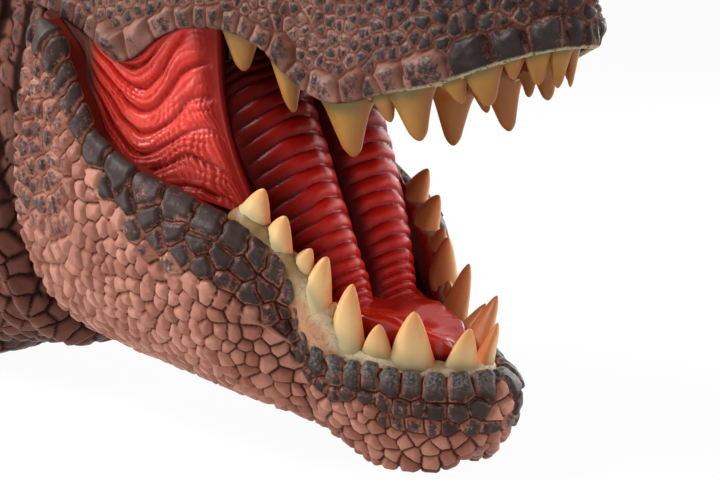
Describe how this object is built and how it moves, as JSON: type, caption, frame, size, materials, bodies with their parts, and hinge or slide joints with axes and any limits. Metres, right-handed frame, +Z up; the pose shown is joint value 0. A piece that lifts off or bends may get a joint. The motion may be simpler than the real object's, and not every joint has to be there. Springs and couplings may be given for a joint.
{
  "type": "dinosaur hand puppet",
  "caption": "Hollow rubber hand puppet of a meat-eating dinosaur's head, with a hinged lower jaw, separate teeth, red mouth lining and an open neck for the hand.",
  "frame": {"origin": "on the table below the middle of the puppet's length and width", "axes": "+X to the snout, +Y to the animal's left, +Z up"},
  "size_m": [0.24, 0.093, 0.157],
  "materials": {
    "neck_skin": "satin painted rubber, dark folds",
    "head_skin": "satin rubber, dark dry-brushed scales",
    "jaw_skin": "satin terracotta rubber, dark scales along the rim",
    "mouth_lining": "glossy red",
    "gum": "satin, pale",
    "upper_teeth": "satin ochre ivory",
    "lower_teeth": "satin cream with orange shading",
    "eye": "gloss amber with a dark pupil"
  },
  "bodies": {
    "neck": {"neck_sleeve": "neck_skin"},
    "head": {"head_skin": "head_skin", "palate": "mouth_lining", "upper_gum": "gum", "eye_left": "eye", "eye_right": "eye", "upper_tooth_left_1": "upper_teeth", "upper_tooth_left_2": "upper_teeth", "upper_tooth_left_3": "upper_teeth", "upper_tooth_left_4": "upper_teeth", "upper_tooth_left_5": "upper_teeth", "upper_tooth_left_6": "upper_teeth", "upper_tooth_left_7": "upper_teeth", "upper_tooth_left_8": "upper_teeth", "upper_tooth_left_9": "upper_teeth", "upper_tooth_left_10": "upper_teeth", "upper_tooth_right_1": "upper_teeth", "upper_tooth_right_2": "upper_teeth", "upper_tooth_right_3": "upper_teeth", "upper_tooth_right_4": "upper_teeth", "upper_tooth_right_5": "upper_teeth", "upper_tooth_right_6": "upper_teeth", "upper_tooth_right_7": "upper_teeth", "upper_tooth_right_8": "upper_teeth", "upper_tooth_right_9": "upper_teeth", "upper_tooth_right_10": "upper_teeth"},
    "jaw": {"jaw_skin": "jaw_skin", "mouth_floor": "mouth_lining", "tongue": "mouth_lining", "lower_gum": "gum", "cheek_left": "mouth_lining", "cheek_right": "mouth_lining", "throat_lobe_left": "mouth_lining", "throat_lobe_right": "mouth_lining", "lower_tooth_left_1": "lower_teeth", "lower_tooth_left_2": "lower_teeth", "lower_tooth_left_3": "lower_teeth", "lower_tooth_left_4": "lower_teeth", "lower_tooth_left_5": "lower_teeth", "lower_tooth_left_6": "lower_teeth", "lower_tooth_left_7": "lower_teeth", "lower_tooth_left_8": "lower_teeth", "lower_tooth_left_9": "lower_teeth", "lower_tooth_right_1": "lower_teeth", "lower_tooth_right_2": "lower_teeth", "lower_tooth_right_3": "lower_teeth", "lower_tooth_right_4": "lower_teeth", "lower_tooth_right_5": "lower_teeth", "lower_tooth_right_6": "lower_teeth", "lower_tooth_right_7": "lower_teeth", "lower_tooth_right_8": "lower_teeth", "lower_tooth_right_9": "lower_teeth"}
  },
  "joints": [
    {"name": "neck_bend", "type": "hinge", "parent": "neck", "child": "head", "pos_m": [-0.045, 0, 0.085], "axis": [0, 1, 0], "range_deg": [-6, 6], "stiffness_Nm_per_rad": 6},
    {"name": "jaw_bend", "type": "hinge", "parent": "head", "child": "jaw", "pos_m": [-0.012, 0, 0.101], "axis": [0, 1, 0], "range_deg": [-28, 8], "stiffness_Nm_per_rad": 3, "deforming": ["cheek_left", "cheek_right", "throat_lobe_left", "throat_lobe_right"]}
  ]
}
